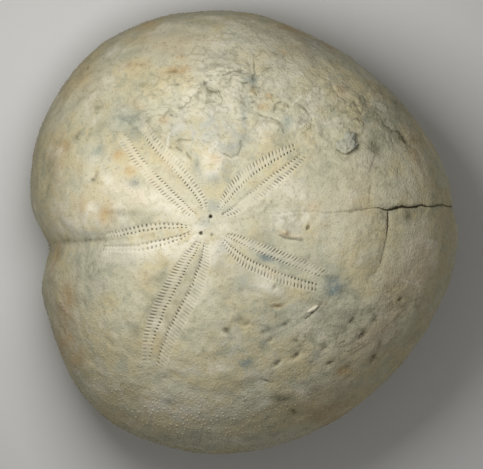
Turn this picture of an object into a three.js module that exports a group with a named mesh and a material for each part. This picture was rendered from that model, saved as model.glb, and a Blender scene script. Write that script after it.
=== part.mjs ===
// A fossil heart urchin: the stone test of a large irregular sea urchin, filled with limestone.
// It is one natural piece, so it is one closed solid. Units are millimetres, +Z is up.
// The test stands on its flat oral side. +X points to the posterior end, -X to the anterior notch.
// The surface is a set of meridians. Each one runs from the apical disc, over the ambitus
// (the widest girth), round the lower margin and across the flat oral side to the axis.
import * as THREE from "three";

// Overall size: the outline below is drawn at this size, and the dome rises to this height.
const domeHeight = 40;

// Outline of the ambitus: radius from the apical disc every 30 degrees, counterclockwise from +X.
const outlineRadii = [42.2, 39.1, 36.8, 36.6, 35.8, 33.0, 30.1, 31.4, 36.7, 38.7, 39.2, 40.6];

// Ambitus height above the resting plane, and how much higher it lies at the posterior end.
const ambitusHeight = 14;
const posteriorRise = 3;

// Dome meridians are superellipses: this exponent, and the fuller one behind, set their roundness.
const domeExponent = 2.2;
const posteriorExponent = 2.7;

// The lower margin is a quarter superellipse that ends on the flat face at this share of the radius.
const flatShare = 0.64;
const marginExponent = 2.1;

// Anterior sulcus: the groove of the front ambulacrum, from the dome over the ambitus to the mouth.
const sulcus = { azimuth: 188, halfWidth: 9.5, depth: 2.7, startShare: 0.3, oralDepth: 1.1, oralWidth: 3.2 };

// Peristome, the mouth recess in the oral side, and periproct, the vent in the posterior face.
const peristome = { distance: 14, long: 2.9, wide: 4.6, depth: 2.6 };
const periproct = { azimuth: 5, height: 18, halfHeight: 3.4, halfWidth: 2.7, depth: 1.6 };

// Facets of the solid: meridians round the test, and rings on dome, margin and flat face.
const meridians = 84;
const domeRings = 22;
const marginRings = 11;
const flatRings = 14;

const degree = Math.PI / 180;

// Shortest signed angle from b to a, in degrees.
function angleBetween(a, b) {
  return ((((a - b + 180) % 360) + 360) % 360) - 180;
}

// Bell curve: 1 at zero, falling to 1/e at one width.
function bell(distance, width) {
  return Math.exp(-((distance / width) ** 2));
}

// 0 below low, 1 above high, and a smooth step between.
function smoothStep(low, high, value) {
  const share = Math.min(1, Math.max(0, (value - low) / (high - low)));
  return share * share * (3 - 2 * share);
}

// Radius of the outline at an azimuth: a closed Catmull-Rom curve through the listed radii.
function outlineRadius(azimuth) {
  const count = outlineRadii.length;
  const place = ((azimuth % 360) + 360) % 360 / (360 / count);
  const first = Math.floor(place);
  const t = place - first;
  const at = (step) => outlineRadii[(first + step + count) % count];
  const [a, b, c, d] = [at(-1), at(0), at(1), at(2)];
  const slope = (c - a) / 2;
  const nextSlope = (d - b) / 2;
  const rise = c - b;
  return b + t * slope + t * t * (3 * rise - 2 * slope - nextSlope)
    + t ** 3 * (slope + nextSlope - 2 * rise);
}

// The meridian at an azimuth as plane points [radius, height], from the first ring to the last.
function meridianPoints(azimuth) {
  const radius = outlineRadius(azimuth);
  const rear = Math.cos(angleBetween(azimuth, periproct.azimuth) * degree / 2) ** 6;
  const girth = ambitusHeight + posteriorRise * rear;
  const exponent = domeExponent + (posteriorExponent - domeExponent) * rear;
  const offAxis = angleBetween(azimuth, sulcus.azimuth);
  const notch = sulcus.depth * bell(offAxis, sulcus.halfWidth);
  const points = [];
  for (let ring = 1; ring <= domeRings; ring += 1) {
    const turn = (ring / domeRings) * (Math.PI / 2);
    const share = Math.sin(turn) ** (2 / exponent);
    const height = girth + (domeHeight - girth) * Math.max(0, Math.cos(turn)) ** (2 / exponent);
    points.push([radius * share - notch * smoothStep(sulcus.startShare, 1, share), height]);
  }
  const edge = radius - notch;
  const flatEdge = edge * flatShare;
  for (let ring = 1; ring <= marginRings; ring += 1) {
    const turn = (ring / marginRings) * (Math.PI / 2);
    const out = Math.max(0, Math.cos(turn)) ** (2 / marginExponent);
    const down = Math.sin(turn) ** (2 / marginExponent);
    points.push([flatEdge + (edge - flatEdge) * out, girth * (1 - down)]);
  }
  for (let ring = 1; ring <= flatRings; ring += 1) {
    points.push([flatEdge * (1 - ring / (flatRings + 1)), 0]);
  }
  return points;
}

// Height added on the oral side: the mouth recess and the furrow that leads to it from the front.
function oralRelief(x, y, height) {
  const axis = sulcus.azimuth * degree;
  const along = x * Math.cos(axis) + y * Math.sin(axis);
  const across = -x * Math.sin(axis) + y * Math.cos(axis);
  const ring = ((along - peristome.distance) / peristome.long) ** 2 + (across / peristome.wide) ** 2;
  const mouth = peristome.depth * Math.exp(-ring * ring);
  const furrow = sulcus.oralDepth * bell(across, sulcus.oralWidth)
    * smoothStep(peristome.distance - 2, peristome.distance + 3, along);
  return Math.max(mouth, furrow) * (1 - smoothStep(1, ambitusHeight, height));
}

// How far the posterior face is set in at the vent.
function ventDepth(azimuth, radius, height) {
  const across = radius * Math.sin(angleBetween(azimuth, periproct.azimuth) * degree);
  const ring = (across / periproct.halfWidth) ** 2
    + ((height - periproct.height) / periproct.halfHeight) ** 2;
  return periproct.depth * Math.exp(-ring * ring);
}

// The closed faceted surface: apex, rings of every meridian, and the centre of the oral side.
function testGeometry() {
  const rings = domeRings + marginRings + flatRings;
  const positions = [0, 0, domeHeight];
  const columns = [];
  for (let m = 0; m < meridians; m += 1) {
    columns.push(meridianPoints((360 * m) / meridians));
  }
  for (let ring = 0; ring < rings; ring += 1) {
    for (let m = 0; m < meridians; m += 1) {
      const azimuth = (360 * m) / meridians;
      const [plain, height] = columns[m][ring];
      const nearRear = Math.abs(angleBetween(azimuth, periproct.azimuth)) < 90;
      const radius = plain - (nearRear ? ventDepth(azimuth, plain, height) : 0);
      const x = radius * Math.cos(azimuth * degree);
      const y = radius * Math.sin(azimuth * degree);
      const lift = ring >= domeRings ? oralRelief(x, y, height) : 0;
      positions.push(x, y, height + lift);
    }
  }
  positions.push(0, 0, 0);
  const last = rings * meridians + 1;
  const faces = [];
  for (let m = 0; m < meridians; m += 1) {
    const next = (m + 1) % meridians;
    faces.push(0, 1 + m, 1 + next);
    for (let ring = 0; ring < rings - 1; ring += 1) {
      const upper = 1 + ring * meridians;
      const lower = upper + meridians;
      faces.push(upper + m, lower + m, lower + next, upper + m, lower + next, upper + next);
    }
    const base = 1 + (rings - 1) * meridians;
    faces.push(base + m, last, base + next);
  }
  const geometry = new THREE.BufferGeometry();
  geometry.setAttribute("position", new THREE.Float32BufferAttribute(positions, 3));
  geometry.setIndex(faces);
  return geometry;
}

// The row frame's origin is the middle of the resting plane, so the outline is centred on it.
function centredOnBase(geometry) {
  geometry.computeBoundingBox();
  const middle = geometry.boundingBox.getCenter(new THREE.Vector3());
  geometry.translate(-middle.x, -middle.y, -geometry.boundingBox.min.z);
  geometry.computeVertexNormals();
  return geometry;
}

const limestone = new THREE.MeshStandardMaterial({ color: "#cfc5a6", roughness: 0.9, metalness: 0 });

const test = new THREE.Mesh(centredOnBase(testGeometry()), limestone);
test.name = "test";

const fossil = new THREE.Group();
fossil.add(test);

export default fossil;
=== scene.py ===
# Fossil heart urchin: the weathered limestone test of a large sea urchin, seen from above.
# All shapes are worked out in millimetres about the apical disc and placed in metres at the end.
import math

import bpy
import numpy as np
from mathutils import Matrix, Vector


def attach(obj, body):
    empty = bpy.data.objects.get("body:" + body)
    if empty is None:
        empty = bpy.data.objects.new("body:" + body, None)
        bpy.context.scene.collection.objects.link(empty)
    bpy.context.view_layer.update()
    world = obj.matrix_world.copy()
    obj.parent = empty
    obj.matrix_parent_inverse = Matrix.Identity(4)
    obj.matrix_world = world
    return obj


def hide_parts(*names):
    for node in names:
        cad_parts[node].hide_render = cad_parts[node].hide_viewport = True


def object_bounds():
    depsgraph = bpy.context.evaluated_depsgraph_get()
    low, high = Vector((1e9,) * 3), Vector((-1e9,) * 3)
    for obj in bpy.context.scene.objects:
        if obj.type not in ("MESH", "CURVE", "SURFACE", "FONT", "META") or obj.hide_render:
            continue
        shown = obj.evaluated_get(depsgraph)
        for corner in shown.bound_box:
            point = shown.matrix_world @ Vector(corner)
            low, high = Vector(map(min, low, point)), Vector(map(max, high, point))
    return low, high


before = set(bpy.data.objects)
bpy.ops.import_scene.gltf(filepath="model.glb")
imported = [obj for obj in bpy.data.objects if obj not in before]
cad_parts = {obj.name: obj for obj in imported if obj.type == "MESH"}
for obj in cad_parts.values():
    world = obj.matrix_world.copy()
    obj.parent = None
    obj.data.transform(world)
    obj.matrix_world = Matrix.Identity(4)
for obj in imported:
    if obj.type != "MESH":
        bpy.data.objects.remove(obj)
cadLow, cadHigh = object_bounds()
millimetre = 0.001

# The smooth body. These are the sizes that the solid in the frame is built from.
bodyShape = {
    "domeHeight": (cadHigh.z - cadLow.z) / millimetre,
    "outlineRadii": [42.2, 39.1, 36.8, 36.6, 35.8, 33.0, 30.1, 31.4, 36.7, 38.7, 39.2, 40.6],
    "girthHeight": 14.0,
    "posteriorRise": 3.0,
    "domeExponent": 2.2,
    "posteriorExponent": 2.7,
    "flatShare": 0.64,
    "marginExponent": 2.1,
    "sulcusAzimuth": 188.0,
    "sulcusHalfWidth": 9.5,
    "sulcusDepth": 2.7,
    "sulcusStart": 0.3,
    "oralFurrowDepth": 1.1,
    "oralFurrowWidth": 3.2,
    "mouthDistance": 14.0,
    "mouthLong": 2.9,
    "mouthWide": 4.6,
    "mouthDepth": 2.6,
    "ventAzimuth": 5.0,
    "ventHeight": 18.0,
    "ventHalfHeight": 3.4,
    "ventHalfWidth": 2.7,
    "ventDepth": 1.6,
}

# Rings and lines of the surface grid. A ring every third of a pore pitch puts a ring on each slit.
gridPlan = {
    "ringStep": 0.187,
    "petalRings": 145,
    "domeRings": 52,
    "marginRings": 26,
    "flatRings": 28,
    "petalLines": 30,
    "petalReach": 1.16,
    "gapLines": [59, 36, 34, 54, 46],
    "rimShare": 0.80,
}

# The five petals, counterclockwise from the right rear one: azimuth and half width at distances from
# the apical disc. "rings" is the pore pitch in grid rings and "slant" how much farther out a slit's
# outer end lies, per millimetre of its length. "innerPlace" and "outerPlace" are where the inner pores
# and the outer slits lie, as shares of the half width, and "furrow" is how dark the groove between
# them is painted, as shade. Lists of two hold the clockwise column and the other; "depth" is how strong
# a column is and "outer" how strong its slits are. "worn" lists [column side, distance, half length, share
# lost].
petals = [
    {  # Right rear
        "at": [5, 8, 11, 14, 17, 20.5],
        "azimuth": [44.3, 44.2, 43.6, 42.2, 40.6, 39.2],
        "halfWidth": [1.85, 2.5, 2.78, 2.62, 2.25, 1.45],
        "start": 3.4, "end": 20.4, "rings": 3, "slant": 0.55,
        "innerPlace": 0.37, "outerPlace": [0.74, 0.72], "furrow": 0.25,
        "depth": [0.9, 0.98], "outer": [0.85, 0.85],
        "worn": [[-1, 8, 1.7, 0.9], [-1, 11.5, 1.6, 0.4], [1, 11.5, 1.2, 0.4], [1, 4.5, 1, 0.3]],
    },
    {  # Right front
        "at": [4, 8, 12, 16, 20, 24],
        "azimuth": [122.5, 126.8, 128.8, 129.7, 129, 128.4],
        "halfWidth": [2.15, 2.7, 2.95, 2.78, 2.75, 2.7],
        "start": 3, "end": 22.6, "rings": 3, "slant": 0.45,
        "innerPlace": 0.46, "outerPlace": [0.78, 0.78], "furrow": 0.25,
        "depth": [0.95, 0.85], "outer": [0.8, 0.85],
        "worn": [[1, 14.5, 1.3, 0.6], [-1, 13, 3, 0.45], [1, 21.5, 2.5, 0.5], [-1, 21.5, 3, 0.75]],
    },
    {  # Front
        "at": [5, 8, 10, 12, 16, 20],
        "azimuth": [191.3, 190, 190.1, 190.2, 189.6, 189],
        "halfWidth": [1.35, 1.85, 2.08, 2.1, 1.75, 1.35],
        "start": 3.2, "end": 20.5, "rings": 4, "slant": 0.22,
        "innerPlace": 0.52, "outerPlace": [0.82, 0.82], "furrow": 0.18,
        "depth": [0.92, 0.9], "outer": [0.88, 0.85],
        "worn": [[1, 13, 2.2, 0.45], [1, 17.2, 3.2, 0.65], [-1, 19, 2.6, 0.62]],
    },
    {  # Left front
        "at": [6, 10, 14, 18, 22, 25],
        "azimuth": [251, 248.9, 247.2, 246.3, 247, 248.4],
        "halfWidth": [2.25, 2.95, 3.08, 2.9, 2.55, 2],
        "start": 3, "end": 25.8, "rings": 3, "slant": 0.42,
        "innerPlace": 0.34, "outerPlace": [0.71, 0.56], "furrow": 0.28,
        "depth": [1, 0.98], "outer": [0.78, 0.52],
        "worn": [[1, 23.5, 3, 0.3], [-1, 24.5, 3, 0.35], [1, 12, 2, 0.15]],
    },
    {  # Left rear
        "at": [5, 8, 12, 16, 20, 22],
        "azimuth": [325.1, 326.1, 329, 331.3, 333.4, 334.4],
        "halfWidth": [1.5, 2.25, 2.52, 2.45, 2.05, 1.7],
        "start": 3.4, "end": 21.6, "rings": 3, "slant": 0.5,
        "innerPlace": 0.38, "outerPlace": [0.72, 0.76], "furrow": 0.28,
        "depth": [1, 0.95], "outer": [0.82, 0.95],
        "worn": [[1, 8.6, 1.4, 0.4], [-1, 15.5, 1.2, 0.35], [1, 18.5, 3, 0.35]],
    },
]


def angleBetween(a, b):
    # Shortest signed angle from b to a, in degrees.
    return (a - b + 180.0) % 360.0 - 180.0


def bell(distance, width):
    # One at zero, falling to 1/e at one width.
    return np.exp(-((distance / width) ** 2))


def smoothStep(low, high, value):
    # Zero below low, one above high, and 3t^2 - 2t^3 between.
    t = np.clip((value - low) / (high - low), 0.0, 1.0)
    return t * t * (3.0 - 2.0 * t)


def box(low, high, soft, value):
    # One between low and high, with soft sides.
    return smoothStep(low - soft, low + soft, value) * (1.0 - smoothStep(high - soft, high + soft, value))


def turned(x, y, degrees):
    # Plan coordinates along a direction and across it: a turn of the axes.
    c, s = math.cos(math.radians(degrees)), math.sin(math.radians(degrees))
    return x * c + y * s, -x * s + y * c


def throughPoints(places, values, x):
    # Smooth curve through points: a cubic on each stretch, with the mean slope at every point.
    places, values = np.array(places), np.array(values)
    slopes = np.gradient(values, places)
    x = np.clip(x, places[0] - 1.5, places[-1] + 2.0)
    n = np.clip(np.searchsorted(places, x) - 1, 0, len(places) - 2)
    run, rise = places[n + 1] - places[n], values[n + 1] - values[n]
    t = (x - places[n]) / run
    bend, nextBend = slopes[n] * run - rise, rise - slopes[n + 1] * run
    return values[n] + t * rise + t * (1 - t) * (bend * (1 - t) + nextBend * t)


def outlineRadius(azimuth):
    # Radius of the widest girth: a closed Catmull-Rom curve through twelve radii, 30 degrees apart.
    radii = np.array(bodyShape["outlineRadii"])
    place = (azimuth % 360.0) / (360.0 / len(radii))
    first = np.floor(place).astype(int)
    t = place - first
    a, b, c, d = (radii[(first + step) % len(radii)] for step in (-1, 0, 1, 2))
    slope, nextSlope, rise = (c - a) / 2, (d - b) / 2, c - b
    bend = t * t * (3 * rise - 2 * slope - nextSlope)
    return b + t * slope + bend + t**3 * (slope + nextSlope - 2 * rise)


def meridianValues(azimuth):
    # Radius, girth height, dome roundness and notch depth at each azimuth; the rear is higher and fuller.
    s = bodyShape
    rear = np.cos(np.radians(angleBetween(azimuth, s["ventAzimuth"])) / 2) ** 6
    girth = s["girthHeight"] + s["posteriorRise"] * rear
    exponent = s["domeExponent"] + (s["posteriorExponent"] - s["domeExponent"]) * rear
    notch = s["sulcusDepth"] * bell(angleBetween(azimuth, s["sulcusAzimuth"]), s["sulcusHalfWidth"])
    return outlineRadius(azimuth), girth, exponent, notch


def domeSurface(azimuth, share):
    # Superellipse over the dome: (share)^n + (rise / full rise)^n = 1, set in by the front notch.
    radius, girth, exponent, notch = meridianValues(azimuth)
    share = np.clip(share, 0.0, 1.0)
    rise = (1.0 - share**exponent) ** (1.0 / exponent)
    height = girth + (bodyShape["domeHeight"] - girth) * rise
    return radius * share - notch * smoothStep(bodyShape["sulcusStart"], 1.0, share), height


def marginSurface(azimuth, turn):
    # Quarter superellipse from the girth down to the edge of the flat oral side.
    radius, girth, exponent, notch = meridianValues(azimuth)
    power = 2.0 / bodyShape["marginExponent"]
    edge = radius - notch
    flatEdge = edge * bodyShape["flatShare"]
    out = np.clip(np.cos(turn), 0.0, 1.0) ** power
    return flatEdge + (edge - flatEdge) * out, girth * (1.0 - np.sin(turn) ** power)


def oralRelief(x, y, height):
    # Height added below: the mouth recess, and the furrow that runs to it from the front notch.
    s = bodyShape
    along, across = turned(x, y, s["sulcusAzimuth"])
    oval = ((along - s["mouthDistance"]) / s["mouthLong"]) ** 2 + (across / s["mouthWide"]) ** 2
    mouth = s["mouthDepth"] * np.exp(-oval * oval)
    reach = smoothStep(s["mouthDistance"] - 2.0, s["mouthDistance"] + 3.0, along)
    furrow = s["oralFurrowDepth"] * bell(across, s["oralFurrowWidth"]) * reach
    return np.maximum(mouth, furrow) * (1.0 - smoothStep(1.0, s["girthHeight"], height))


def ventDepth(azimuth, radius, height):
    # How far the rear face is set in at the vent, a flat-bottomed oval.
    s = bodyShape
    off = angleBetween(azimuth, s["ventAzimuth"])
    across = radius * np.sin(np.radians(off)) / s["ventHalfWidth"]
    oval = across**2 + ((height - s["ventHeight"]) / s["ventHalfHeight"]) ** 2
    return s["ventDepth"] * np.exp(-oval * oval) * (np.abs(off) < 90.0)


def stoneNoise(points, size, seed):
    # Smooth random field from 0 to 1: random values on a cubic lattice, blended by a smooth step.
    side = 24
    lattice = np.random.default_rng(seed).random((side, side, side))
    place = points / size + 1000.0
    base = np.floor(place).astype(int)
    t = smoothStep(0.0, 1.0, place - base)
    total = np.zeros(points.shape[:-1])
    for corner in range(8):
        step = np.array([corner & 1, (corner >> 1) & 1, (corner >> 2) & 1])
        cell = (base + step) % side
        weight = np.prod(np.where(step == 1, t, 1.0 - t), axis=-1)
        total += weight * lattice[cell[..., 0], cell[..., 1], cell[..., 2]]
    return total


def fractalNoise(points, size, seed, octaves=3):
    # Octaves of the smooth field, each half the size and half the strength of the last, about zero.
    return sum((stoneNoise(points, size / 2**n, seed + n) - 0.5) / 2**n for n in range(octaves))


def waver(points, *waves):
    # Sum of smooth fields about zero, from rows of [millimetres of wander, size, seed].
    return sum(wander * (stoneNoise(points, size, seed) - 0.5) for wander, size, seed in waves)


def pathSide(x, y, path):
    # Signed distance in plan to a bent line, positive on its left, and a mask that ends with the line.
    best, side = np.full(x.shape, 1e6), np.ones(x.shape)
    inside = np.zeros(x.shape)
    corners = np.reshape(path, (-1, 2)).tolist()
    for (ax, ay), (bx, by) in zip(corners[:-1], corners[1:]):
        dx, dy = bx - ax, by - ay
        length = math.hypot(dx, dy)
        along = ((x - ax) * dx + (y - ay) * dy) / length
        held = np.clip(along, 0.0, length)
        away = np.hypot(x - ax - held * dx / length, y - ay - held * dy / length)
        nearer = away < best
        best = np.where(nearer, away, best)
        side = np.where(nearer, np.sign(dx * (y - ay) - dy * (x - ax)), side)
        inside = np.maximum(inside, 1.0 - smoothStep(0.0, 0.5, np.abs(along - held)) - (away > 2.0))
    return best * side, np.clip(inside, 0.0, 1.0)


# The rear crack follows the suture of the plates to the margin. Its azimuth is listed against
# distance, so that lines of the grid can run along it; "open" says how far it gapes, from 0 to 1.
rearCrack = {
    "distance": [10.0, 15.0, 20.0, 23.3, 25.9, 28.5, 30.3, 32.7, 37.0, 39.5, 41.5],
    "azimuth": [10.5, 9.0, 6.7, 6.4, 5.9, 6.3, 5.0, 5.6, 5.2, 5.0, 4.5],
    "openAt": [11.0, 15.0, 22.0, 27.5, 30.0, 31.0, 35.5, 37.0, 40.0],
    "open": [0.0, 0.13, 0.18, 0.28, 0.55, 0.80, 0.76, 0.48, 0.40],
    "clayAt": [27.0, 31.0, 35.0, 37.0, 41.0],
    "clay": [0.3, 0.6, 0.8, 1.0, 1.0],
    "pull": 0.75,
    "pullWidth": 3.6,
    "gape": 0.22,
    "depth": 0.75,
    "lip": 0.10,
    "lowest": 20.0,
}
# Finer cracks and scratches: [how far they gape, how deep they are, how much dark clay has settled along
# them, x and y of each bend in plan]; where the clay is below zero, the line is a pale scratch.
cracks = [
    [0.5, 0.3, 0.7, [30.2, 2.6, 30.3, 1.5, 30.2, 0.2, 30.1, -1.4]],
    [0.24, 0.26, 0.7, [30.1, -1.4, 30, -2.6, 29.7, -3.6, 29.4, -5.2, 28.9, -6.6]],
    [0.03, 0.18, 0.7, [28.9, -6.6, 28.3, -7.7, 27.4, -9.2]],
    [0.16, 0.26, 1, [24.5, 20.9, 25.1, 20.2, 25.4, 19.7, 26, 19.2]],
    [0.03, 0.16, 0.8, [27.2, 18.7, 28.2, 18.2, 29.3, 17.5]],
    [0.03, 0.14, 0.7, [28, 19.3, 29, 18.4, 29.7, 17.4]],
    [0.24, 0.3, 1, [29.8, 17.3, 30.5, 16.5, 31, 16, 32, 16, 32.7, 15.3, 33.6, 14.2]],
    [0, 0.1, 0.6, [33.6, 14.2, 34.8, 12.9, 35.4, 11.9, 35.9, 10.6]],
    [0.06, 0.1, 0.6, [27.1, 3.4, 27, 5.2, 27.2, 7.4]],
    [0.06, 0.22, 0.9, [12.1, -1.7, 13.1, -2.25, 14.4, -2.35, 16, -2.2]],
    [0.3, 0.2, 0.7, [16.5, -15.5, 17.4, -14.9, 19, -13.4]],
    [0.02, 0.1, -0.6, [32.7, -9.2, 34.4, -9.6, 36.5, -10.5]],
    [0.02, 0.16, 0.8, [2.2, 25.3, 3.6, 25.7, 5.4, 26.2, 6.2, 26.1]],
    [0.1, 0.2, 1, [7.8, 28.1, 7.7, 26.1, 7.5, 24.6, 6, 23.9, 5, 24.6]],
    [0.04, 0.14, 0.8, [9.2, 26, 9.9, 26.6, 10.5, 26.7]],
    [0.03, 0.24, 0.9, [-0.8, 24.4, -0.3, 23.2, 0.8, 22.6, 2.2, 22.7]],
    [0.03, 0.16, 0.9, [8.1, 19.2, 9.1, 18.7, 10.5, 18.5, 11.8, 18]],
    [0.02, 0.16, 0.6, [11.8, 18, 12.6, 17.2, 12.9, 15.6]],
    [0.03, 0.34, 0.8, [-2.7, 21.8, -3.2, 21, -4.8, 19.7, -6.4, 18.8]],
    [0.05, 0.3, 1, [-6.5, 13.2, -5.6, 14.3, -4.6, 14.6, -3, 14.4]],
    [0.05, 0.24, 1, [-6, 13.6, -4.8, 12.8, -3.4, 12, -2.7, 11.2]],
    [0.02, 0.14, 0.5, [-3, 14.4, -1, 14.3, 1, 14.2]],
    [0.05, 0.2, 1, [11.3, 19.4, 11.3, 20.6, 12.2, 21.1, 13.2, 20.9, 13.8, 19.8]],
    [0.02, 0.14, 0.7, [15.6, 20.6, 16.5, 19.8, 17.3, 18, 17, 16.6]],
    [0.03, 0.12, 0.8, [10.7, 29.5, 11.8, 28.8, 12.8, 28.4]],
    [0.02, 0.12, 0.7, [20.5, 24.4, 21.2, 22.6, 23, 21.4, 23.4, 19.5]],
    [0.08, 0.2, 1, [2.6, 12, 4, 11.7, 5, 12.3, 5.6, 13.2, 5.7, 14.4]],
    [0, 0.06, -0.5, [1, 11, 2.6, 11.4, 4.1, 11.1, 5.4, 11.8]],
    [0, 0.06, -0.5, [2.8, 23, 4, 22.3, 5.6, 21.3]], [0, 0.06, -0.7, [12.9, 19.2, 14.4, 20.6, 15.9, 21.8]],
    [0, 0.05, -0.5, [2.8, 32.1, 4.2, 33.1, 5.6, 34.6]], [0.06, 0.18, 0.8, [9, -26, 10.2, -26.5, 11, -26.3]],
]
fineCrackWidth = 0.30


def crackAzimuth(distance):
    # Azimuth of the rear crack at each distance from the apical disc.
    return np.interp(distance, rearCrack["distance"], rearCrack["azimuth"])


def rearDistance(azimuth, distance):
    # Signed distance to the rear crack's line along the girth: angle off it times the distance.
    return np.radians(angleBetween(azimuth, crackAzimuth(distance))) * distance


def surfaceGrid():
    # Azimuth and meridian place of every grid point. Lines follow the petals' columns: within a petal
    # they keep their share of its half width, and between petals they are spread evenly.
    plan = gridPlan
    plain = plan["ringStep"] * np.arange(1, plan["petalRings"] + 1)[:, None]
    shares = np.linspace(-plan["petalReach"], plan["petalReach"], plan["petalLines"])
    fromEdge = plan["petalReach"] - np.sqrt(shares**2 + 0.09)
    lanes, distances, parts = [], [], []
    for petal in petals:
        # Rings draw in towards the petal's axis, so that slits slant.
        wide = throughPoints(petal["at"], petal["halfWidth"], plain)
        distance = plain - petal["slant"] * wide * np.maximum(fromEdge, 0.0) * smoothStep(0.8, 7.5, plain)
        wide = throughPoints(petal["at"], petal["halfWidth"], distance)
        halfAngle = np.degrees(wide / np.maximum(distance, petal["at"][0]))
        lanes.append(throughPoints(petal["at"], petal["azimuth"], distance) + shares * halfAngle)
        distances.append(distance)
    # Each block of lines has its azimuths, distances, places across a petal and the petal's number.
    for n, (lane, count) in enumerate(zip(lanes, plan["gapLines"])):
        after = lanes[(n + 1) % len(petals)][:, :1] + (360.0 if n == len(petals) - 1 else 0.0)
        gap = lane[:, -1:] + np.arange(1, count + 1) / (count + 1) * (after - lane[:, -1:])
        parts.append((lane, distances[n], np.tile(shares, (len(plain), 1)), np.full(len(shares), n)))
        parts.append((gap, np.tile(plain, (1, count)), np.full(gap.shape, 9.0), np.full(count, -1)))
    azimuth, distance, place, owner = (np.concatenate(part, axis=-1) for part in zip(*parts))
    off = angleBetween(azimuth, crackAzimuth(plain))
    reach = smoothStep(rearCrack["distance"][0], rearCrack["distance"][1], plain)
    azimuth = azimuth - reach * rearCrack["pull"] * off * bell(off, rearCrack["pullWidth"])
    return plain, distance, azimuth, place, owner


def bodyPositions(distance, azimuth):
    # Stacks petal zone, outer dome, margin and flat side; the petal zone's rings are equally far apart
    # in plan, and draw in where the front of the test is too near for that.
    plan = gridPlan
    petalRings = plan["petalRings"]
    outer, radius = azimuth[-1], outlineRadius(azimuth)
    full = plan["ringStep"] * petalRings
    wanted = np.minimum(full, plan["rimShare"] * radius)
    share = np.arange(1, petalRings + 1)[:, None] / petalRings
    distance = distance * (1.0 - (1.0 - wanted / full) * smoothStep(0.55, 1.0, share))
    dome, margin, flat = (
        np.arange(1, plan[zone + "Rings"] + 1)[:, None] for zone in ("dome", "margin", "flat"))
    exponent = meridianValues(outer)[2]
    begin = np.arcsin(np.clip(distance[-1] / radius[-1], 0, 1) ** (exponent / 2))
    turn = begin + (math.pi / 2 - begin) * (dome / len(dome))
    zones = [
        domeSurface(azimuth, distance / radius),
        domeSurface(outer, np.sin(turn) ** (2.0 / exponent)),
        marginSurface(outer, math.pi / 2 * margin / len(margin)),
    ]
    flatReach = zones[-1][0][-1] * (1.0 - flat / (len(flat) + 1))
    zones.append((flatReach, np.zeros(flatReach.shape)))
    reach, height = (np.concatenate(part) for part in zip(*zones))
    azimuth = np.concatenate([azimuth, np.tile(outer, (len(reach) - petalRings, 1))])
    reach = reach - ventDepth(azimuth, reach, height)
    x, y = reach * np.cos(np.radians(azimuth)), reach * np.sin(np.radians(azimuth))
    below = np.arange(len(reach))[:, None] >= petalRings + len(dome)
    height = height + np.where(below, oralRelief(x, y, height), 0.0)
    return np.stack([x, y, height], axis=-1), azimuth


def gridNormals(points):
    # Outward normal at each grid point: cross product of the steps along the meridian and the ring.
    down = np.gradient(points, axis=0)
    around = np.roll(points, -1, axis=1) - np.roll(points, 1, axis=1)
    normal = np.cross(down, around)
    return normal / np.maximum(np.linalg.norm(normal, axis=-1, keepdims=True), 1e-9)


# The pore pairs, as shares of a petal's half width: how far the inner pores reach about their place,
# where the outer slits end, how soft both are at their edges, how much a pair slips along its ring and
# how dark it is. "beside" is how much of a slit falls on the rings beside its own, by pore pitch.
poreShape = {
    "innerReach": [-0.06, 0.09],
    "innerSoft": 0.035,
    "innerForce": [0.75, 1.0],
    "outerEnd": 1.06,
    "outerSoft": 0.05,
    "outerForce": [0.60, 0.90],
    "slip": 0.03,
    "beside": {3: 0.06, 4: 0.42},
}


def petalPores(plain, place, owner):
    # Pore darkness, furrow and column masks on the petal rings. Across a column runs an inner pore, a
    # faint furrow and a long outer slit; along it a slit falls on every third or fourth ring.
    s = poreShape
    rings = np.arange(1, len(plain) + 1)
    pore, column, strip = (np.zeros(place.shape) for _ in range(3))
    for n, petal in enumerate(petals):
        at = owner == n
        q = place[:, at]
        random = np.random.default_rng(40 + n)
        inner, pitch = petal["innerPlace"], petal["rings"]
        lengthwise = box(petal["start"], petal["end"], 0.5, plain)
        total = np.zeros(q.shape)
        for which, side in enumerate((-1, 1)):
            wear = np.ones(plain.shape)
            for where, distance, half, lost in petal["worn"]:
                if where == side:
                    wear = wear * (1.0 - lost * bell(plain - distance, half))
            phase = (rings + which) % pitch
            step = np.minimum(phase, pitch - phase)
            pulse = np.select([step == 0, step == 1], [1.0, s["beside"][pitch]], 0.0)[:, None]
            count = len(rings) // pitch + 2
            pair = (rings + which + 1) // pitch
            innerForce = random.uniform(*s["innerForce"], count)[pair][:, None]
            outerForce = petal["outer"][which] * random.uniform(*s["outerForce"], count)[pair][:, None]
            slip = random.uniform(-s["slip"], s["slip"], count)[pair][:, None]
            lane = q * side
            innerStart, innerEnd = (inner + reach + slip for reach in s["innerReach"])
            outerStart, outerEnd = petal["outerPlace"][which] + slip, s["outerEnd"] + slip
            innerPore = innerForce * box(innerStart, innerEnd, s["innerSoft"], lane)
            outerPore = outerForce * box(outerStart, outerEnd, s["outerSoft"], lane)
            furrow = petal["furrow"] * box(inner, 0.9, 0.06, lane)
            across = np.maximum(np.maximum(innerPore, outerPore), furrow)
            total = total + petal["depth"][which] * wear * pulse * across
        pore[:, at] = total * lengthwise
        fading = lengthwise * smoothStep(petal["end"] + 0.5, petal["end"] - 2.5, plain)
        column[:, at] = box(inner - 0.06, 1.08, 0.06, np.abs(q)) * fading
        strip[:, at] = (1.0 - smoothStep(inner - 0.22, inner - 0.05, np.abs(q))) * lengthwise
    return pore, column, strip


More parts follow.
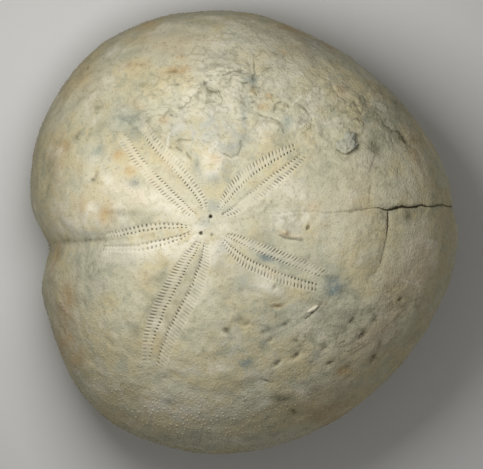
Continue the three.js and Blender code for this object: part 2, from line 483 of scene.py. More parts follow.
# Marks are soft ovals in plan: [x, y, half length, half width, turn in degrees, amount]. Pits lie where
# plates are bruised, and lumps are small things that stand proud; both amounts are in millimetres.
pits = [
    [11.9, -13.6, 1.1, 0.3, 4, 0.32], [13, -16.7, 0.6, 0.35, 20, 0.3], [10.6, -19.3, 0.55, 0.35, 60, 0.28],
    [15.1, -19.5, 0.6, 0.3, -25, 0.26], [14.9, -22, 0.7, 0.42, 35, 0.36],
    [11.7, -23.3, 0.9, 0.35, 45, 0.34], [20.6, -23.2, 0.9, 0.35, 20, 0.34],
    [19.8, -20.6, 0.9, 0.3, 30, 0.24], [26, -18.4, 1.2, 0.45, 50, 0.36], [28.3, -15.7, 0.6, 0.35, 60, 0.36],
    [24.3, -16, 1, 0.35, 75, 0.34], [32.5, -12.6, 0.4, 0.3, 70, 0.34], [35.6, -13.9, 1, 0.5, 55, 0.14],
    [28, -22.5, 0.7, 0.35, 65, 0.38], [23.8, -24, 0.9, 0.4, 10, 0.22], [29.1, -20, 1.1, 0.5, 60, 0.22],
    [9.8, -26.3, 1, 0.25, -18, 0.26], [14.3, -31.4, 0.9, 0.4, -30, 0.3], [9.3, -18.1, 0.7, 0.5, 10, 0.2],
    [6.4, -16.7, 0.8, 0.4, 15, 0.2], [16.9, -0.3, 0.5, 0.3, 60, 0.45], [11.3, -10.4, 0.5, 0.28, 80, 0.24],
    [-19, 8.5, 0.5, 0.5, 0, 0.22], [-13.1, 2, 0.8, 0.5, 0, 0.14], [-22.3, 15.3, 0.7, 0.4, 70, 0.2],
    [-18.4, 20.4, 0.5, 0.3, 60, 0.18], [3, -17.7, 0.8, 0.5, 10, 0.25], [-6.6, -29.8, 0.5, 0.3, 20, 0.14],
    [-20.6, 26.8, 0.5, 0.3, 45, 0.2], [-2.9, 23.6, 0.7, 0.3, 25, 0.22], [-4.9, 20.4, 0.6, 0.4, 0, 0.2],
]
lumps = [
    [12.85, -1.1, 0.75, 0.5, -15, 0.5], [14.9, -1.75, 1.4, 0.25, -3, 0.3], [21, -24.3, 0.8, 0.18, 8, 0.18],
    [16.8, -17.9, 0.25, 0.45, 10, 0.2], [-5.6, 16, 1.5, 0.4, 38, 0.24], [-6.8, 14, 1.5, 0.4, 82, 0.26],
    [-9.5, 14.8, 1.6, 1.2, 20, 0.2], [-2.6, 13.4, 2.2, 0.8, -8, 0.22], [4, 10.6, 2, 0.8, 20, 0.2],
]
# Genital pores of the apical disc, and the smaller pores of its sieve plate: [x, y, radius, depth].
apicalPores = [
    [0.45, 1.58, 0.29, 0.8], [-1.18, -1.25, 0.31, 0.66], [0.72, -1.52, 0.25, 0.42], [2.6, 2, 0.22, 0.35],
    [-0.6, 1.3, 0.13, 0.3], [-1.3, 0.8, 0.13, 0.3], [-0.65, 0.7, 0.13, 0.3], [-0.3, -0.1, 0.12, 0.2],
    [0.3, 0.5, 0.1, 0.2], [-0.9, 0.1, 0.1, 0.2],
]
# Stains of each colour, as marks, some of them painted light and shade: a few olive marks are painted
# shadow under the clay nodule and beneath a raised ledge, and chalk is the pale bloom of the rubbed
# crown between the petals together with painted light where the lamp's light falls off.
stains = {
    "ochre": [
        [-10.3, 34.2, 1.4, 0.6, 10, 0.5], [-5.2, 26.3, 2.1, 0.7, 5, 0.8], [-4.7, 28.4, 0.8, 0.7, 0, 0.4],
        [-11.6, 20.5, 1, 1, 0, 0.4], [-14.9, 11.9, 1.2, 0.9, 0, 0.7], [-13.1, 9.3, 0.9, 0.8, 0, 0.7],
        [-21.2, 3.3, 0.8, 1.4, 0, 0.5], [-17.5, 1.8, 1, 1.3, 0, 0.6], [-24, 13.7, 0.8, 1, 0, 0.4],
        [1.2, 11.3, 1, 0.8, 0, 0.5], [-7.5, 17.9, 1.2, 0.9, 0, 0.4], [-23.5, -12.7, 1.5, 3.2, 0, 0.32],
        [-24, -19.5, 1.5, 2.2, 0, 0.4], [-22.2, -22.6, 1.5, 2, 0, 0.4], [-10.7, -8.8, 2.2, 1.5, 0, 0.2],
        [-25.8, -5.7, 0.7, 3, -10, 0.5], [22.7, -24.7, 1.2, 0.8, 0, 0.6], [11.9, -13.6, 1.2, 0.3, 0, 0.5],
        [10.6, -7.9, 1.1, 0.6, -20, 0.5], [13.5, 33.4, 2.2, 0.8, -20, 0.4],
        [20.4, 30.5, 1.6, 0.8, -35, 0.3], [22.4, 22.9, 0.9, 0.8, 0, 0.5], [12.9, -1.2, 0.9, 0.5, -10, 0.6],
        [14.9, -1.8, 1.4, 0.3, 0, 0.3], [10.2, 21.9, 0.7, 0.6, 0, 0.6], [9.1, 20.1, 0.8, 0.7, 0, 0.5],
        [7.6, 22.6, 0.6, 0.6, 0, 0.6], [34.8, 13, 1.2, 3, 15, 0.4], [-12.2, 5, 3, 2, -40, 0.2],
        [-9, 8, 2, 1.2, -50, 0.3], [-6.8, 10.4, 1.6, 1, -45, 0.3], [17.8, 3.2, 1.6, 0.9, 0, 0.3],
        [12.6, 29.6, 1, 0.6, -40, 0.4], [-12.2, 27.2, 2.6, 0.7, 4, 0.3], [-21.5, 24.5, 5.5, 3, 45, 0.22],
        [-6, 31, 6, 2.4, 0, 0.26], [-25.6, 10.5, 1.5, 5, 0, 0.3], [15, 30, 3.6, 2, -25, 0.2],
        [32, -9, 3.5, 6.5, -10, 0.26], [27.5, -19.5, 5.5, 2.6, 35, 0.26], [20, -29.5, 5, 2.8, 30, 0.3],
        [21, -32, 3.5, 1.4, 20, 0.4], [-16.5, 3, 1.6, 4, 0, 0.2], [-5, 7.2, 3.4, 2.6, -20, 0.14],
        [36.4, -5.5, 1.8, 5, 0, 0.3], [-24.5, -14.5, 1.8, 5.5, 0, 0.3], [-6.5, -14.5, 3.4, 6, -25, 0.16],
        [26, 5, 4.5, 7.5, 0, 0.16],
    ],
    "blue": [
        [-18.3, 12.7, 1.3, 1.2, 0, 0.35], [3.7, 12.9, 1.7, 1, 0, 0.4], [21.1, -9.9, 2, 1.8, -20, 0.8],
        [21.2, -11, 1, 0.9, 0, 0.4], [10.1, -5.5, 2.2, 0.7, -18, 0.8], [-12.4, 7.2, 1.3, 0.9, 0, 0.5],
        [-1.9, 10, 0.8, 1.6, 0, 0.4], [26.6, 17.6, 0.8, 1.8, 0, 0.4], [-13.9, 17.6, 3.2, 2.6, 30, 0.3],
        [6.2, 18.5, 0.8, 4.4, 0, 0.32], [13.2, 17.4, 0.8, 1.8, -8, 0.5], [6.7, 25, 1.3, 1.2, 0, 0.45],
        [7.6, 24.6, 0.6, 0.8, 0, 0.5], [12.2, -13.5, 3.6, 2, 0, 0.25], [-6.5, -29.5, 1.6, 1, 0, 0.2],
        [0.8, 3.4, 1.6, 1.4, 0, 0.35], [12.2, -29, 1.2, 0.6, 0, 0.7], [12.9, 0.8, 2.2, 1.4, 0, 0.15],
        [2.6, -3.6, 1.2, 1.6, 0, 0.25], [-0.6, 0.6, 1.3, 1.2, 0, 0.35], [6.2, -9.6, 1.8, 1.8, 0, 0.45],
        [-19.4, -1.3, 2.2, 0.7, 4, 0.32], [18, 30.5, 1.6, 1.2, 0, 0.3], [12, 14.5, 1.2, 2, 0, 0.2],
        [17, 16.5, 1.4, 2.6, 0, 0.1], [-1, 16.8, 5.4, 3.2, 5, 0.4], [1.4, 7.6, 0.9, 1.4, 0, 0.3],
        [11, -18, 4, 4.5, 0, 0.14], [-6, 15.6, 2, 1.6, 30, 0.2], [3, 8.6, 0.8, 1.6, 20, 0.45],
        [5, 14, 3.4, 3, 0, 0.25], [0.6, 7.4, 2, 1.6, 0, 0.25], [6.6, -23.1, 1.6, 0.45, 28, 0.6],
        [4, -21, 4, 6, 0, 0.16],
    ],
    "grey": [
        [-18.5, -8.2, 4.4, 5, 0, 0.4], [-5.2, -11.5, 1.5, 3, -20, 0.35], [-14, -4.9, 3, 1.4, 0, 0.25],
        [-1.4, -5.6, 1.2, 2.5, 0, 0.35], [-4.4, -8.4, 1, 3, -25, 0.35], [4.2, -9.6, 3, 3.4, 0, 0.3],
        [2, -6.6, 1, 2, 0, 0.35], [10, -17.6, 3, 3.2, 0, 0.4], [-10.8, 16.6, 1.6, 4, 40, 0.4],
        [-14, 17, 4.2, 4.6, 30, 0.45], [-18.5, 14.6, 3, 1.6, 0, 0.2], [12, -31, 7, 2, 8, 0.1],
        [28.2, 14.6, 1.8, 2.6, 0, 0.55], [31.5, 22, 2, 5, 35, 0.35], [9.5, -1.2, 3, 1.2, 0, 0.15],
        # The mark at (-14, -1) is painted shade below the front petal's upper column.
        [15, 7, 2.4, 0.9, 20, 0.3], [-21, -5.6, 1.6, 3.6, 0, 0.35], [-14, -1, 3.6, 0.8, 8, 0.25],
        [-12.8, 1.6, 4.6, 1.5, 0, 0.4], [9, 27.5, 5, 3, 0, 0.12], [17.5, 29.4, 7, 2.6, -32, 0.45],
        [24, -18.5, 6, 3, 30, 0.25], [27.6, 19.6, 3.8, 1.7, -45, 0.45], [3.2, 10.2, 1.2, 1.2, 0, 0.4],
        [22, -15, 6, 3, 10, 0.3], [20, -12.6, 3, 1.4, 10, 0.4], [27, -5.6, 3, 1.6, 0, 0.3],
        [2.4, 28.6, 3, 1.2, 0, 0.2], [8.6, -2.4, 3, 1.8, 0, 0.4], [8, -26.5, 7, 2, -5, 0.15],
        [9, -28, 1.2, 0.8, 0, 0.3], [-12.2, -30.6, 1.8, 1, 0, 0.35], [16.3, -5.8, 2.6, 1.6, -20, 0.25],
    ],
    "oliveStainAndShadow": [
        [3.1, -17.7, 0.6, 0.5, 0, 0.7], [5.6, -15.9, 1.8, 0.6, 8, 0.6], [-6.6, -29.8, 0.7, 0.5, 0, 0.4],
        [-20.3, -2.4, 5.4, 0.35, 4, 0.45], [-23.8, -2.2, 0.5, 0.35, 0, 0.9], [-13, 2.2, 4.6, 0.5, 0, 0.3],
        [-22.3, 15.3, 0.6, 0.9, 0, 0.5], [-18.8, 20.3, 1, 0.7, 0, 0.4], [-19.2, 7.8, 0.5, 0.5, 0, 0.8],
        [-6, 26, 0.8, 0.3, 0, 0.6], [-8.4, -8.6, 2.4, 1.1, 60, 0.25], [-7.2, -6.6, 0.7, 0.3, 45, 0.45],
        [-8.7, -13.6, 1.2, 3.4, -22, 0.4], [-12.2, -18, 2.2, 1, 65, 0.26], [-27, 8, 1.5, 7, 0, 0.25],
        [-25.6, -5.5, 1.8, 5, 0, 0.2], [28.2, -22.2, 0.9, 0.9, 0, 0.4], [14.3, -31.5, 0.9, 0.5, 0, 0.5],
        [32.6, 15.4, 1.4, 2.4, 40, 0.4], [26.4, 20.6, 4.2, 1, -45, 0.08], [-11, 23.8, 1, 0.5, 0, 0.5],
        # The marks at (22.6, 12.6) and (25.1, 13.3) are painted shadow under the clay nodule.
        [-5, 23.8, 0.4, 0.3, 0, 0.8], [22.6, 12.6, 1.1, 0.35, -20, 1], [25.1, 13.3, 0.4, 1, -30, 0.8],
        [28.4, 13.6, 1.3, 1.8, 0, 0.3], [20.6, -8.6, 1.2, 0.4, 0, 0.45], [22.7, -11, 0.8, 0.4, 0, 0.45],
        [36, 2.3, 2.6, 0.8, 0, 0.35], [33.8, 1.7, 0.7, 0.8, 0, 0.6], [12.2, -29.1, 1.2, 0.5, 0, 1.3],
        # The marks at (-0.4, 23.6) and (1, 22.7) are painted shade beneath a raised ledge.
        [-0.4, 23.6, 1.1, 0.7, -50, 0.3], [1, 22.7, 1.7, 0.7, 0, 0.35], [24.6, -17, 0.4, 1.1, 0, 0.5],
        [-1.9, 10.3, 0.4, 0.6, 0, 0.3], [-5, 13.6, 1.4, 0.8, -35, 0.35], [1.4, 27.2, 1.3, 0.5, 10, 0.4],
        [9.8, 26.6, 1.1, 0.6, 10, 0.5], [7.5, 23.2, 0.8, 0.5, 0, 0.45],
    ],
    # Chalk marks are partly the pale bloom and partly painted light, brightening places toward the margin
    # where the lamp's light falls off and over the rear crack's shadow.
    "chalkAndLight": [
        [12.7, -0.8, 0.6, 0.35, -15, 0.7], [14.9, -1.7, 1.5, 0.2, -3, 0.9], [-13, 5.6, 6.5, 1.5, -20, 0.8],
        [-11, -4.4, 5, 1, 12, 0.7], [0.9, 10.4, 2, 2.6, 0, 0.9], [0, 18, 7, 4.5, 10, 0.45],
        [4, 27.5, 10, 5, 0, 0.45], [1, -3.6, 1.8, 2.2, 0, 0.7], [-2.6, -1.8, 2.6, 0.9, 10, 0.6],
        [2.6, -0.7, 1.1, 1.5, 0, 0.6], [-1.5, -0.3, 1.2, 0.6, 10, 0.6], [11, 6.2, 5.5, 1.2, 42, 0.3],
        [9.5, -10.3, 5, 0.9, -28, 0.6], [-6, 3.6, 4, 2, -30, 0.5], [0, 0, 9, 7, 0, 0.3],
        [15.5, 2.4, 4, 2.2, 0, 0.6], [13.6, 0.6, 3, 1.8, 0, 0.7], [17.7, 6, 1.4, 1, 0, 0.35],
        [18.2, -21.8, 1.4, 1.2, 0, 0.6], [7.6, -25, 1.6, 0.6, -10, 0.5], [-16, 9.6, 6, 4, 0, 0.25],
        [22, -1, 6, 5, 0, 0.15], [9, 16.5, 2.2, 1.4, 30, 0.5], [-4, 17, 2.4, 3.4, 0, 0.35],
        [3, 15, 5.5, 4.5, 0, 0.35], [-5.6, 16, 1.5, 0.4, 38, 0.7], [-6.8, 14, 1.5, 0.4, 82, 0.7],
        [15.4, 17, 2.4, 1.2, 0, 0.4], [17.5, 21.6, 1.1, 1, 0, 0.4], [-2.5, -31, 9, 2.6, -2, 0.6],
        [-21.5, 1.6, 5, 3.4, 0, 0.75], [-8, -4.2, 11, 2.4, 0, 0.5], [4, -7, 5, 2, -20, 0.3],
        [35.4, -6.6, 2.3, 5, 0, 1], [31, -13.4, 2.2, 3, 35, 0.4], [35, 9, 1.8, 4, 10, 0.35],
        [27, -20, 4.5, 2, 35, 0.55], [-21.5, -17, 2.4, 3.5, 20, 0.25], [1.4, 24.7, 1.4, 0.8, 0, 0.5],
        [3.7, 13, 1.5, 0.9, 0, 0.5], [27, 10.8, 2, 1.6, 0, 0.55], [-25.8, -1.2, 1.2, 2, 0, 0.3],
        [-5, -23.8, 5.5, 1.5, 0, 0.45], [-8, -29.2, 2.5, 1.5, 0, 0.4], [17.5, 20, 1.4, 3.8, 0, 0.4],
        [4.6, -18, 1, 4, 0, 0.35], [22, 22.4, 1.6, 1.6, 0, 0.4],
    ],
}
# Where thin sheets have flaked from the crown and lime has crusted it, as marks.
flakedZone = [
    [3, 22.5, 10, 8, 0, 1.2], [20, 18, 9, 6, -20, 0.6], [30, 15, 6, 8, 20, 0.7], [-8, 18, 4, 5, 0, 0.6],
    [12, 1.5, 5, 4, 0, 0.5], [22, -20, 9, 4.5, 25, 0.7], [33, -12, 4, 4, 0, 0.5],
    [28.6, 0.5, 1.6, 2.4, 0, 1], [0, 17, 4, 2.6, 0, -0.65],
]


def ovalReach(x, y, mark):
    # Squared distance from a mark's middle, one on the edge of its oval.
    along, across = turned(x - mark[0], y - mark[1], mark[4])
    return (along / mark[2]) ** 2 + (across / mark[3]) ** 2


def ovals(x, y, marks):
    # Sum of elongated bell shapes, each scaled by its mark's last number.
    return sum(mark[5] * np.exp(-ovalReach(x, y, mark)) for mark in marks)


def flakedAt(x, y):
    # Sum of the flaked marks, held between zero and one.
    return np.clip(ovals(x, y, flakedZone), 0.0, 1.0)


# Weathering, in millimetres. The first three are [size of the features, height between lows and highs].
weathering = {
    "swell": [9.0, 0.42],
    "dents": [2.6, 0.30],
    "hammer": [1.3, 0.22],
    "flakeSize": 3.6,
    "flakeSteps": 3.4,
    "flakeHeight": 0.42,
    "poreDepth": 0.28,
    "columnDepth": 0.07,
    "stripHeight": 0.05,
    "pitDepth": 0.4,
    "deepPit": 0.32,
    "petalSmoothness": 0.6,
    "wornSmoothness": 0.55,
    "crownRadius": 17.0,
    "grooveDepth": 0.28,
    "grooveHalfWidth": 1.25,
    "grooveReach": [14.0, 22.0],
    "discHeight": 0.10,
    "discRadius": 2.6,
    "discLevel": 30.0,
}


def upperSide(height):
    # One on the dome, falling to 0 just below the girth.
    return smoothStep(11.0, 15.0, height)


def flakeTerraces(points, zone):
    # A random field cut into terraces, so that sheets end at small ragged steps; and the steps' risers.
    w = weathering
    field = stoneNoise(points, w["flakeSize"], 23) + 0.45 * stoneNoise(points, w["flakeSize"] / 2.4, 24)
    field = (field + 0.16 * stoneNoise(points, 0.8, 25)) * w["flakeSteps"]
    level = np.floor(field)
    part = field - level
    terrace = (level + smoothStep(0.80, 1.0, part)) / w["flakeSteps"] - 0.75
    return w["flakeHeight"] * zone * terrace, zone * smoothStep(0.74, 0.84, part)


def pitMask(x, y, height):
    # Steep-sided ovals, one where a pit or bruise is deep.
    soft = [pit[5] / weathering["deepPit"] * np.exp(-(ovalReach(x, y, pit) ** 1.5)) for pit in pits]
    return np.minimum(np.max(soft, axis=0), 1.3) * upperSide(height)


def wornSmooth(x, y, z):
    # One where the test is rubbed smooth, on the crown and the front right shoulder; 0 on the flanks.
    shoulder = smoothStep(-8.0, 3.0, y) * smoothStep(12.0, -8.0, x)
    crown = bell(np.hypot(x, y), weathering["crownRadius"])
    return np.clip(np.maximum(shoulder, crown), 0.0, 1.0) * smoothStep(8.0, 18.0, z)


def reliefOf(points, pore, column, strip, terraces, pitted):
    # Height in millimetres that weathering, pores and pits add along the normal.
    x, y, z = np.moveaxis(points, -1, 0)
    w = weathering
    upper, onDisc = upperSide(z), z > w["discLevel"]
    swell, dents, rough = (w[name][1] * fractalNoise(points, w[name][0], seed, 2)
                           for name, seed in (("swell", 3), ("dents", 11), ("hammer", 17)))
    petal = w["petalSmoothness"] * np.clip(column + strip, 0.0, 1.0)
    smooth = np.maximum(petal, w["wornSmoothness"] * wornSmooth(x, y, z))
    relief = swell + dents + rough * (1.0 - smooth) + terraces
    relief = relief - w["poreDepth"] * pore - w["columnDepth"] * column + w["stripHeight"] * strip
    relief = relief + upper * ovals(x, y, lumps) - w["pitDepth"] * pitted
    # The narrow groove of the front column runs on past the petal to the notch.
    along, across = turned(x, y, bodyShape["sulcusAzimuth"])
    groove = bell(across, w["grooveHalfWidth"]) * smoothStep(*w["grooveReach"], along)
    relief = relief - w["grooveDepth"] * groove * upper
    for px, py, radius, depth in apicalPores:
        relief = relief - depth * np.exp(-((np.hypot(x - px, y - py) / radius) ** 4)) * onDisc
    # The plates of the apical disc stand a little proud.
    return relief + w["discHeight"] * bell(np.hypot(x, y), w["discRadius"]) * onDisc


def rearCrackFields(points, azimuth):
    # Signed distance to the rear crack with a slight wander, how far it gapes and how much clay it holds.
    x, y, z = np.moveaxis(points, -1, 0)
    distance = np.hypot(x, y)
    across = rearDistance(azimuth, distance) + waver(points, [0.5, 2.0, 71], [0.22, 0.7, 72])
    there = smoothStep(rearCrack["lowest"] - 1.5, rearCrack["lowest"] + 1.5, z)
    there = there * (np.abs(angleBetween(azimuth, rearCrack["azimuth"][-1])) < 90.0)
    gape = np.interp(distance, rearCrack["openAt"], rearCrack["open"]) * there
    clay = np.interp(distance, rearCrack["clayAt"], rearCrack["clay"]) * there
    return across, gape, clay


def fineCrackFields(points):
    # The same fields for the nearest of the finer cracks, and the depth of its groove.
    x = points[..., 0] + waver(points, [0.5, 1.3, 73], [0.2, 0.5, 75])
    y = points[..., 1] + waver(points, [0.5, 1.3, 74], [0.2, 0.5, 76])
    onDome = smoothStep(13.0, 16.0, points[..., 2])
    across = np.full(x.shape, 9.0)
    held = np.zeros((3, *x.shape))
    for *amounts, path in cracks:
        away, inside = pathSide(x, y, path)
        nearer = np.abs(away) < np.abs(across)
        across = np.where(nearer, away, across)
        held = np.where(nearer, np.reshape(amounts, (3, 1, 1)) * inside * onDome, held)
    gape, depth, clay = held
    return across, gape, depth, clay


def closedFaces(rings, lines):
    # Quads between neighbouring rings and a fan round each pole, wound so that they face out. Index 0
    # is the top pole, the rings follow one after another, and the last index is the bottom pole.
    line = np.arange(lines)
    after = (line + 1) % lines
    start = 1 + np.arange(rings - 1)[:, None] * lines
    quads = np.stack([start + line, start + lines + line, start + lines + after, start + after], axis=-1)
    last = 1 + (rings - 1) * lines
    top = np.stack([0 * line, 1 + line, 1 + after], axis=-1)
    bottom = np.stack([last + line, 0 * line + last + lines, last + after], axis=-1)
    return quads.reshape(-1, 4).tolist() + top.tolist() + bottom.tolist()


def meshObject(name, vertices, faces):
    # A smooth-shaded mesh object at the origin, from points in metres.
    mesh = bpy.data.meshes.new(name)
    mesh.from_pydata(vertices.tolist(), [], faces)
    mesh.update()
    mesh.polygons.foreach_set("use_smooth", np.ones(len(mesh.polygons), bool))
    piece = bpy.data.objects.new(name, mesh)
    bpy.context.scene.collection.objects.link(piece)
    return piece


def setAttribute(piece, name, values):
    # Stores one number for each vertex, which the material reads.
    attribute = piece.data.attributes.new(name, "FLOAT", "POINT")
    attribute.data.foreach_set("value", np.ascontiguousarray(values, np.float32))


def stainFields(px, py, height):
    # The stain masks at any points; stains lie on the upper side only.
    onTop = smoothStep(10.0, 14.0, height)
    masks = {name: ovals(px, py, marks) * onTop for name, marks in stains.items()}
    return masks | {"flaked": flakedAt(px, py) * onTop, "smooth": wornSmooth(px, py, height)}


print("stage: working out the surface of the test")
plain, petalDistance, petalAzimuth, petalPlace, petalOwner = surfaceGrid()
bodyPoints, bodyAzimuth = bodyPositions(petalDistance, petalAzimuth)
ringCount, lineCount = bodyAzimuth.shape
x, y, z = np.moveaxis(bodyPoints, -1, 0)


def onAllRings(petalValues):
    # Petal masks are known on the petal rings only; the rest of the test has none.
    return np.concatenate([petalValues, np.zeros((ringCount - len(petalValues), lineCount))])


poreMask, columnMask, stripMask = (onAllRings(m) for m in petalPores(plain, petalPlace, petalOwner))
rearAcross, rearGape, rearClay = rearCrackFields(bodyPoints, bodyAzimuth)
fineAcross, fineGape, fineDepth, fineClay = fineCrackFields(bodyPoints)
flaked = flakedAt(x, y) * upperSide(z) * (1.0 - np.clip(columnMask + stripMask, 0, 1))
terraces, ledges = flakeTerraces(bodyPoints, flaked)
pitted = pitMask(x, y, z)
relief = reliefOf(bodyPoints, poreMask, columnMask, stripMask, terraces, pitted)
rearGroove = bell(rearAcross, rearCrack["gape"] * (0.5 + 0.5 * rearGape))
relief = relief - rearCrack["depth"] * rearGape * rearGroove
relief = relief + rearCrack["lip"] * rearGape * np.tanh(rearAcross / 0.2) * bell(rearAcross, 2.0)
relief = relief - fineDepth * bell(fineAcross, fineCrackWidth)
normals = gridNormals(bodyPoints)
surface = bodyPoints + normals * relief[..., None]

# The oral side is lifted a little, so that the tubercles below end at the resting plane.
tubercleHeight = 0.15
lowest = tubercleHeight * 1.8
surface[..., 2] += lowest * (1.0 - smoothStep(0.5, 8.0, z))
surface[..., 2] = np.maximum(surface[..., 2], lowest)

# The apical disc's place in the row frame, which is centred on the outline.
middle = [(low + high) / 2 / millimetre - (value.max() + value.min()) / 2
          for low, high, value in zip(cadLow[:2], cadHigh[:2], (x, y))]
apex = np.array([*middle, cadLow.z / millimetre])

poles = [np.array([[0.0, 0.0, surface[ring, :, 2].mean()]]) for ring in (0, -1)]
vertices = (np.concatenate([poles[0], surface.reshape(-1, 3), poles[1]]) + apex) * millimetre
faces = closedFaces(ringCount, lineCount)
test = meshObject("urchinTest", vertices, faces)

ventShare = ventDepth(bodyAzimuth, np.hypot(x, y), z) / bodyShape["ventDepth"]
mouthShare = smoothStep(1.2, 2.4, oralRelief(x, y, np.zeros(x.shape))) * (z < 8.0)
# How far each point lies in an apical pore; the material paints it with dark shadow.
apical = sum(np.exp(-((np.hypot(x - px, y - py) / (r * 1.1)) ** 3)) * min(1.0, d * 1.25)
             for px, py, r, d in apicalPores)
testFields = {
    "pore": poreMask,
    "column": columnMask,
    "rearAcross": np.clip(rearAcross, -9.0, 9.0),
    "rearGape": rearGape,
    "rearClay": rearClay,
    "fineAcross": np.clip(fineAcross, -9.0, 9.0),
    "fineGape": fineGape,
    "fineClay": fineClay,
    "apical": apical * (z > weathering["discLevel"]),
    "pitted": pitted,
    "ledge": ledges,
    "sediment": np.clip(ventShare + mouthShare, 0.0, 1.0),
} | stainFields(x, y, z)
for name, values in testFields.items():
    setAttribute(test, name, np.concatenate([[values[0].mean()], values.reshape(-1), [values[-1].mean()]]))
print(f"stage: test has {2 * len(faces) - 2 * lineCount} triangles")

# Tubercles: the small bosses that carried the spines, set in rows. The profile lists shares of radius and
# of height from foot to tip. "worn" is how fresh a boss still is on the rubbed crown, and "keep" and
# "shrink" say which share of the bosses is left there and how small and low they are. "fieldGrowth" is
# for the larger ones behind the mouth. Bosses below and above "partHeight" are a piece each.
tubercles = {
    "rowSpacing": 0.92,
    "spacing": 1.02,
    "jitter": 0.32,
    "radius": 0.27,
    "height": tubercleHeight,
    "sides": 7,
    "profile": [[1.0, -0.3], [0.68, 0.45], [0.34, 0.92]],
    "seed": 5,
    "partHeight": 10.0,
    "sizes": [0.62, 1.12],
    "worn": 0.08,
    "freshAzimuth": 266.0,
    "freshHalfWidth": 42.0,
    "keep": 0.35,
    "shrink": [0.72, 0.35],
    "fieldGrowth": 0.45,
    "fieldHalfWidth": 8.0,
    "flakedLimit": 0.45,
    "crackGap": [0.55, 0.5],
}


def tubercleSites():
    # Rows an even way apart down the mean meridian, and sites an even way apart along each row, both
    # jittered; a site is a fractional ring and line of the surface grid.
    plan = tubercles
    random = np.random.default_rng(plan["seed"])
    steps = np.linalg.norm(np.diff(surface, axis=0), axis=-1).mean(axis=1)
    down = np.concatenate([[0.0], np.cumsum(steps)])
    rings = np.arange(ringCount)
    sites = []
    for place in np.interp(np.arange(3.0, down[-1] - 1.0, plan["rowSpacing"]), down, rings):
        ring = surface[int(place)]
        around = np.linalg.norm(np.roll(ring, -1, axis=0) - ring, axis=-1)
        length = np.concatenate([[0.0], np.cumsum(around)])
        count = max(3, int(length[-1] / plan["spacing"]))
        spots = np.arange(count) + random.uniform(0, 1) + random.uniform(-1, 1, count) * plan["jitter"]
        spots = (spots / count * length[-1]) % length[-1]
        line = np.interp(spots, length, np.arange(lineCount + 1))
        shift = random.uniform(-1, 1, count) * plan["jitter"] * plan["rowSpacing"]
        ringPlace = np.interp(np.interp(place, rings, down) + shift, down, rings)
        sites.append(np.stack([ringPlace, line % lineCount], axis=-1))
    return np.concatenate(sites)


def sampleGrid(values, sites):
    # Bilinear value of a grid array at fractional ring and line places, closed round the rings.
    ring = np.clip(sites[:, 0], 0, ringCount - 1.001)
    low, line = ring.astype(int), sites[:, 1].astype(int) % lineCount
    high, beside = low + 1, (line + 1) % lineCount
    u, v = ring - low, sites[:, 1] - np.floor(sites[:, 1])
    if values.ndim == 3:
        u, v = u[:, None], v[:, None]
    upper = values[low, line] * (1 - v) + values[low, beside] * v
    lower = values[high, line] * (1 - v) + values[high, beside] * v
    return upper * (1 - u) + lower * u


def clearOfCracks(px, py):
    # True where a site is well clear of every crack.
    rearGap, fineGap = tubercles["crackGap"]
    distance = np.hypot(px, py)
    across = rearDistance(np.degrees(np.arctan2(py, px)), distance)
    clear = (np.abs(across) > rearGap) | (distance < rearCrack["distance"][0])
    for crack in cracks:
        clear &= np.abs(pathSide(px, py, crack[-1])[0]) > fineGap
    return clear


def bossSites():
    # Place, normal, freshness and size of every boss that is left. Bosses are rubbed down on the crown and
    # the right side, and fresh on the left side, on the flanks and below.
    plan = tubercles
    sites = tubercleSites()
    random = np.random.default_rng(plan["seed"] + 1)
    centre, normal, column, strip = (
        sampleGrid(values, sites) for values in (surface, normals, columnMask, stripMask))
    normal = normal / np.linalg.norm(normal, axis=-1, keepdims=True)
    px, py, height = centre.T
    distance = np.hypot(px, py)
    offSide = angleBetween(np.degrees(np.arctan2(py, px)), plan["freshAzimuth"])
    leftSide = bell(offSide, plan["freshHalfWidth"]) * smoothStep(25.0, 35.0, distance)
    fresh = np.clip(plan["worn"] + 0.9 * leftSide + 0.9 * smoothStep(22.0, 8.0, height), 0.0, 1.0)
    present = (column < 0.15) & (strip < 0.3)
    present &= random.random(len(sites)) < plan["keep"] + (1 - plan["keep"]) * fresh
    present &= clearOfCracks(px, py) & (distance > 3.2)
    present &= ~((oralRelief(px, py, np.zeros(len(sites))) > 0.8) & (height < 6.0))
    present &= flakedAt(px, py) * random.random(len(sites)) < plan["flakedLimit"]
    centre, normal, fresh = centre[present], normal[present], fresh[present]
    size = random.uniform(*plan["sizes"], len(centre)) * (plan["shrink"][0] + 0.33 * fresh)
    behind, aside = turned(centre[:, 0], centre[:, 1], bodyShape["sulcusAzimuth"] + 180.0)
    field = bell(aside, plan["fieldHalfWidth"]) * smoothStep(-12.0, -4.0, behind) * (centre[:, 2] < 4.0)
    return centre, normal, fresh, size * (1.0 + plan["fieldGrowth"] * field)


